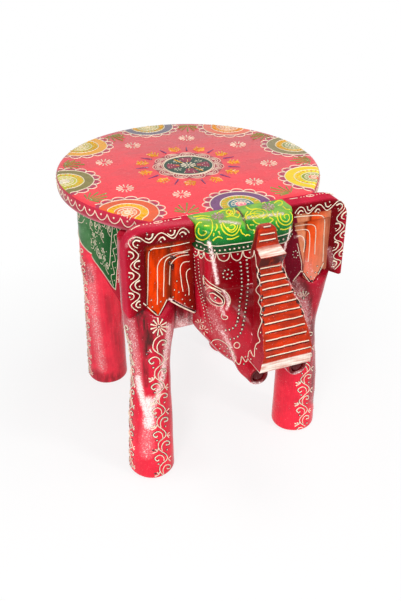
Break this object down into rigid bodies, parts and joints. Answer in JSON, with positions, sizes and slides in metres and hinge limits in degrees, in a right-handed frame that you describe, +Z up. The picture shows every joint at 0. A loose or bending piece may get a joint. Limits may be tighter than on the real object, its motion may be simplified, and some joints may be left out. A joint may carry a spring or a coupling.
{
  "type": "carved elephant stool",
  "caption": "Low round wooden stool carved as an elephant, with ear boards, a head block, a raised free-standing trunk and post legs, painted in lacquer colours with raised line ornament.",
  "frame": {"origin": "on the floor, below the middle of the overall box", "axes": "+Z up, the elephant's head and trunk point along -Y, +X across the seat"},
  "size_m": [0.29, 0.389, 0.317],
  "materials": {
    "seat_lacquer": "coral red lacquer over wood, satin gloss",
    "body_lacquer": "green lacquer over wood, satin gloss",
    "leg_lacquer": "crimson lacquer, rubbed back to pale primer in places",
    "ear_lacquer": "dark crimson lacquer with orange pleats",
    "head_lacquer": "crimson lacquer, glossy, with a green crown",
    "trunk_lacquer": "orange lacquer with cream bands",
    "tusk_lacquer": "dark maroon gloss lacquer",
    "line_paint": "raised cream cone paint",
    "dowel_beech": "plain beech"
  },
  "bodies": {
    "root": {"seat_board": "seat_lacquer", "body_block": "body_lacquer", "leg_front_left": "leg_lacquer", "leg_front_right": "leg_lacquer", "leg_rear_left": "leg_lacquer", "leg_rear_right": "leg_lacquer", "ear_left": "ear_lacquer", "ear_right": "ear_lacquer", "head_block": "head_lacquer", "trunk": "trunk_lacquer", "tusk_left": "tusk_lacquer", "tusk_right": "tusk_lacquer", "seat_dowels": "dowel_beech", "leg_dowels": "dowel_beech", "ear_dowels": "dowel_beech", "head_dowels": "dowel_beech", "trunk_dowel": "dowel_beech"}
  },
  "joints": []
}
